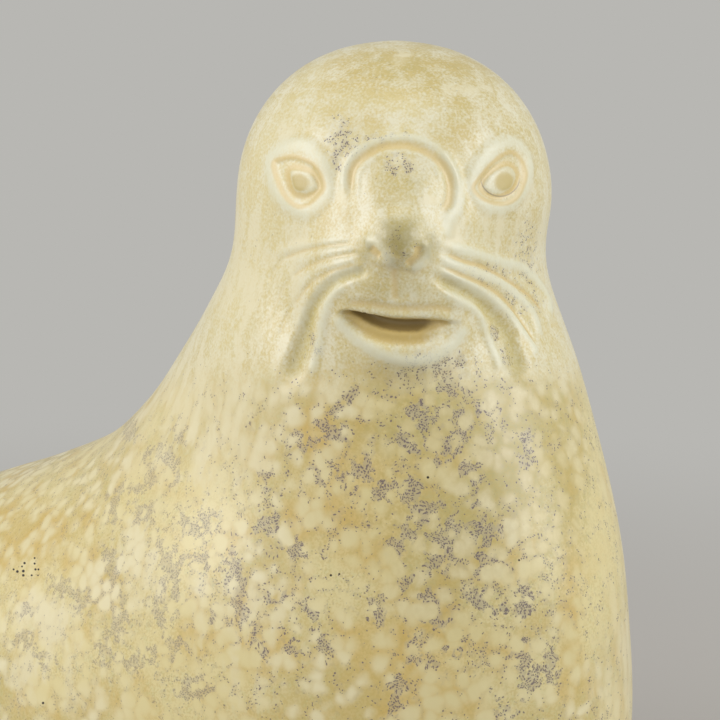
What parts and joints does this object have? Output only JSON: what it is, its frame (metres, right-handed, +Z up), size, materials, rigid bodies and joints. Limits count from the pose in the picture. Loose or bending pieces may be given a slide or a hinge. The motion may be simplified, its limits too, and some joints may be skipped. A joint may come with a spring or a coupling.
{
  "type": "seal figurine",
  "caption": "Glazed stoneware seal resting on a flat foot, head raised and turned over its shoulder, with a face in low relief, paddle flippers and a tapering body.",
  "frame": {"origin": "middle of the flat foot's plane under the seal's bounding box", "axes": "+Z up, +Y from the chest to the tail, +X to the seal's left side"},
  "size_m": [0.166, 0.3376, 0.2199],
  "materials": {
    "glazed_stoneware": "satin-gloss pale yellow glaze, mottled cream and ochre, with fine grey specks"
  },
  "bodies": {
    "root": {"seal": "glazed_stoneware"}
  },
  "joints": []
}
